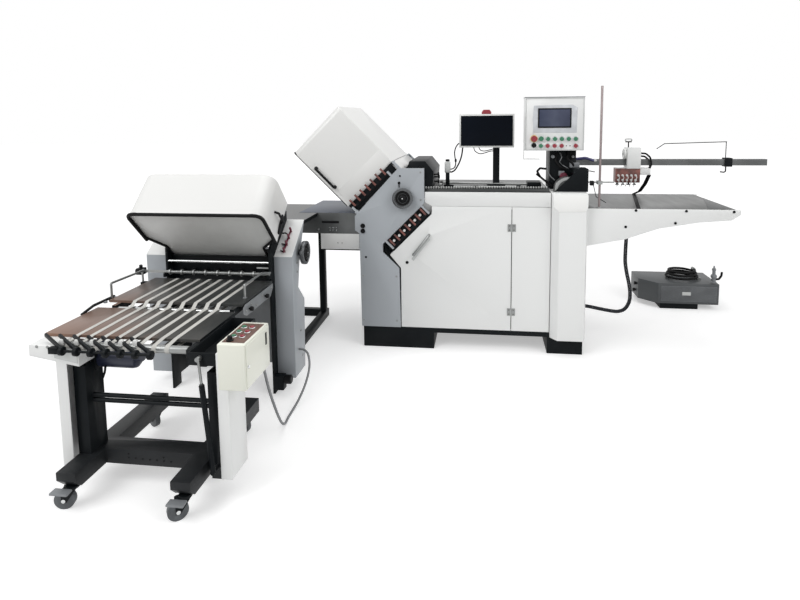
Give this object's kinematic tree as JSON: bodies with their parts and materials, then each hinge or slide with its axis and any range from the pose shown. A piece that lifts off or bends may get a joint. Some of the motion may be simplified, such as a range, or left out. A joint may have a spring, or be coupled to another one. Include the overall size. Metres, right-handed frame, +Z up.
{
  "type": "paper folding machine",
  "caption": "Floor-standing paper folding line: flat feeder, register table, two buckle fold units at right angles with lifting hoods, and a tape delivery on castors.",
  "frame": {"origin": "centre of the underside of the main unit's left foot, on the floor", "axes": "+X along the line towards the feeder (to the viewer's right), +Y away from the operator, +Z up"},
  "size_m": [3.5993, 2.9473, 1.6435],
  "materials": {
    "white_paint": "gloss",
    "cream_paint": "gloss",
    "hood_white": "gloss",
    "grey_paint": "satin",
    "slate_paint": "satin",
    "pale_plate": "satin",
    "black_paint": "satin",
    "brushed": "brushed",
    "chrome": "polished",
    "board_brown": "satin",
    "copper": "satin",
    "rubber": "matte",
    "grey_cable": "matte",
    "red_plastic": "gloss",
    "green_plastic": "gloss",
    "black_plastic": "matte",
    "wheel_grey": "matte"
  },
  "bodies": {
    "machine": {"machine_base": "black_paint", "cabinet_shell": "white_paint", "front_fascia": "white_paint", "register_table": "brushed", "corner_column": "white_paint", "fold_frame_1": "grey_paint", "upper_fold_plates_1": "pale_plate", "lower_fold_plates_1": "pale_plate", "feeder_brackets": "white_paint", "feeder_table": "brushed", "feeder_beam": "black_paint", "control_cabinet": "white_paint", "display_monitor": "black_plastic", "feeder_hose": "rubber", "transfer_table": "slate_paint", "transfer_stand": "black_paint", "fold_frame_2": "black_paint", "housing_right_2": "grey_paint", "housing_left_2": "grey_paint", "upper_fold_plates_2": "pale_plate", "upper_delivery_board": "board_brown", "delivery_base": "black_paint", "delivery_cable": "grey_cable", "vacuum_pump": "black_paint", "pump_hose_coil": "rubber"},
    "hood_1": {"noise_hood_1": "hood_white"},
    "hood_2": {"noise_hood_2": "hood_white"},
    "door": {"cabinet_door": "white_paint"},
    "handwheel_roller_1": {"handwheel_1": "brushed"},
    "mate_roller_1": {"fold_roller_1": "brushed"},
    "handwheel_roller_2": {"handwheel_2": "brushed"},
    "mate_roller_2": {"fold_roller_2": "brushed"},
    "slitter": {"slitter_shaft": "chrome"},
    "drum": {"suction_drum": "chrome"},
    "separator": {"separator_head": "white_paint"},
    "t_screw": {"height_screw": "brushed"},
    "guide_wire": {"wire_guide": "brushed"},
    "stop_button": {"emergency_stop": "red_plastic"},
    "selector": {"selector_switch": "black_plastic"},
    "start": {"start_button": "green_plastic"},
    "upper_levers": {"upper_levers_1": "copper"},
    "lower_levers": {"lower_levers_1": "copper"},
    "side_levers": {"levers_2": "copper"},
    "deck": {"lower_delivery_board": "board_brown", "delivery_leg_left": "white_paint", "delivery_leg_right": "white_paint", "delivery_control_box": "cream_paint", "fork_rack": "black_paint"},
    "mid_roller": {"mid_delivery_roller": "chrome"},
    "front_roller": {"front_delivery_roller": "chrome"},
    "spring_cylinder": {"gas_spring_cylinder": "black_paint"},
    "spring_rod": {"gas_spring_rod": "chrome"},
    "swivel_front_left": {"castor_fork_front_left": "black_paint"},
    "wheel_front_left": {"castor_wheel_front_left": "wheel_grey"},
    "swivel_front_right": {"castor_fork_front_right": "black_paint"},
    "wheel_front_right": {"castor_wheel_front_right": "wheel_grey"},
    "swivel_rear_left": {"castor_fork_rear_left": "black_paint"},
    "wheel_rear_left": {"castor_wheel_rear_left": "wheel_grey"},
    "swivel_rear_right": {"castor_fork_rear_right": "black_paint"},
    "wheel_rear_right": {"castor_wheel_rear_right": "wheel_grey"}
  },
  "joints": [
    {"name": "hood_1_lift", "type": "hinge", "parent": "machine", "child": "hood_1", "pos_m": [-0.02163, 0, 1.19574], "axis": [0, 1, 0], "range_deg": [0, 70]},
    {"name": "hood_2_lift", "type": "hinge", "parent": "machine", "child": "hood_2", "pos_m": [-0.866, -0.91328, 1.01419], "axis": [-1, 0, 0], "range_deg": [0, 70]},
    {"name": "door_swing", "type": "hinge", "parent": "machine", "child": "door", "pos_m": [0.708, -0.373, 0.53], "axis": [0, 0, 1], "range_deg": [0, 110]},
    {"name": "handwheel_1_turn", "type": "hinge", "parent": "machine", "child": "handwheel_roller_1", "pos_m": [0.0413, 0, 0.973], "axis": [0, 1, 0], "continuous": true},
    {"name": "mate_roller_1_turn", "type": "hinge", "parent": "machine", "child": "mate_roller_1", "pos_m": [-0.00332, 0, 0.92838], "axis": [0, 1, 0], "continuous": true},
    {"name": "handwheel_2_turn", "type": "hinge", "parent": "machine", "child": "handwheel_roller_2", "pos_m": [-0.866, -0.885, 0.737], "axis": [1, 0, 0], "continuous": true},
    {"name": "mate_roller_2_turn", "type": "hinge", "parent": "machine", "child": "mate_roller_2", "pos_m": [-0.866, -0.9234, 0.6986], "axis": [1, 0, 0], "continuous": true},
    {"name": "slitter_turn", "type": "hinge", "parent": "machine", "child": "slitter", "pos_m": [-0.866, -1.07, 0.663], "axis": [1, 0, 0], "continuous": true},
    {"name": "drum_turn", "type": "hinge", "parent": "machine", "child": "drum", "pos_m": [1.05, -0.25, 1.016], "axis": [0, 1, 0], "continuous": true},
    {"name": "separator_slide", "type": "slide", "parent": "machine", "child": "separator", "axis": [1, 0, 0], "range_m": [-0.15, 0.06]},
    {"name": "t_screw_turn", "type": "hinge", "parent": "separator", "child": "t_screw", "pos_m": [1.468, -0.0025, 1.28], "axis": [0, 0, 1], "continuous": true},
    {"name": "guide_slide", "type": "slide", "parent": "machine", "child": "guide_wire", "axis": [1, 0, 0], "range_m": [-0.03, 0.2]},
    {"name": "stop_push", "type": "slide", "parent": "machine", "child": "stop_button", "axis": [0, 1, 0], "range_m": [0, 0.005]},
    {"name": "selector_turn", "type": "hinge", "parent": "machine", "child": "selector", "pos_m": [0.843, -0.2653, 1.29], "axis": [0, 1, 0], "range_deg": [-45, 45]},
    {"name": "start_push", "type": "slide", "parent": "machine", "child": "start", "axis": [0, 1, 0], "range_m": [0, 0.005], "stiffness_N_per_m": 400},
    {"name": "upper_levers_turn", "type": "hinge", "parent": "machine", "child": "upper_levers", "pos_m": [-0.16659, -0.362, 1.01684], "axis": [0.7071, 0, 0.7071], "range_deg": [-10, 10]},
    {"name": "lower_levers_turn", "type": "hinge", "parent": "machine", "child": "lower_levers", "pos_m": [0.08302, -0.362, 0.76723], "axis": [0.7071, 0, 0.7071], "range_deg": [-10, 10]},
    {"name": "side_levers_turn", "type": "hinge", "parent": "machine", "child": "side_levers", "pos_m": [-0.52, -0.9234, 0.80355], "axis": [0, 0.8013, 0.5982], "range_deg": [-8, 8]},
    {"name": "deck_lift", "type": "slide", "parent": "machine", "child": "deck", "axis": [0, 0, 1], "range_m": [-0.008, 0.12]},
    {"name": "mid_roller_turn", "type": "hinge", "parent": "machine", "child": "mid_roller", "pos_m": [-0.859, -1.491, 0.604], "axis": [1, 0, 0], "continuous": true},
    {"name": "front_roller_turn", "type": "hinge", "parent": "deck", "child": "front_roller", "pos_m": [-0.826, -1.893, 0.6], "axis": [1, 0, 0], "continuous": true},
    {"name": "spring_lean", "type": "hinge", "parent": "machine", "child": "spring_cylinder", "pos_m": [-0.462, -1.945, 0.15], "axis": [0, 1, 0], "range_deg": [-0.6, 2]},
    {"name": "spring_stroke", "type": "slide", "parent": "spring_cylinder", "child": "spring_rod", "axis": [-0.086, 0, 0.9963], "range_m": [-0.01, 0.125]},
    {"name": "swivel_front_left_turn", "type": "hinge", "parent": "machine", "child": "swivel_front_left", "pos_m": [-1.005, -1.992, 0.09], "axis": [0, 0, 1], "continuous": true},
    {"name": "wheel_front_left_turn", "type": "hinge", "parent": "swivel_front_left", "child": "wheel_front_left", "pos_m": [-1.034, -1.99967, 0.038], "axis": [0.2555, -0.9668, 0], "continuous": true},
    {"name": "swivel_front_right_turn", "type": "hinge", "parent": "machine", "child": "swivel_front_right", "pos_m": [-0.55, -1.992, 0.09], "axis": [0, 0, 1], "continuous": true},
    {"name": "wheel_front_right_turn", "type": "hinge", "parent": "swivel_front_right", "child": "wheel_front_right", "pos_m": [-0.57373, -2.01036, 0.038], "axis": [0.6119, -0.791, 0], "continuous": true},
    {"name": "swivel_rear_left_turn", "type": "hinge", "parent": "machine", "child": "swivel_rear_left", "pos_m": [-1.005, -1.435, 0.09], "axis": [0, 0, 1], "continuous": true},
    {"name": "wheel_rear_left_turn", "type": "hinge", "parent": "swivel_rear_left", "child": "wheel_rear_left", "pos_m": [-1.03071, -1.41953, 0.038], "axis": [-0.5155, -0.8569, 0], "continuous": true},
    {"name": "swivel_rear_right_turn", "type": "hinge", "parent": "machine", "child": "swivel_rear_right", "pos_m": [-0.55, -1.435, 0.09], "axis": [0, 0, 1], "continuous": true},
    {"name": "wheel_rear_right_turn", "type": "hinge", "parent": "swivel_rear_right", "child": "wheel_rear_right", "pos_m": [-0.57913, -1.42782, 0.038], "axis": [-0.2392, -0.971, 0], "continuous": true}
  ],
  "couplings": [
    {"joint": "mate_roller_1_turn", "follows": "handwheel_1_turn", "ratio": -1},
    {"joint": "mate_roller_2_turn", "follows": "handwheel_2_turn", "ratio": -1},
    {"joint": "mid_roller_turn", "follows": "front_roller_turn", "ratio": 1.3636},
    {"joint": "spring_lean", "follows": "deck_lift", "rad_per_m": 0.1533},
    {"joint": "spring_stroke", "follows": "deck_lift", "ratio": 0.99708}
  ]
}
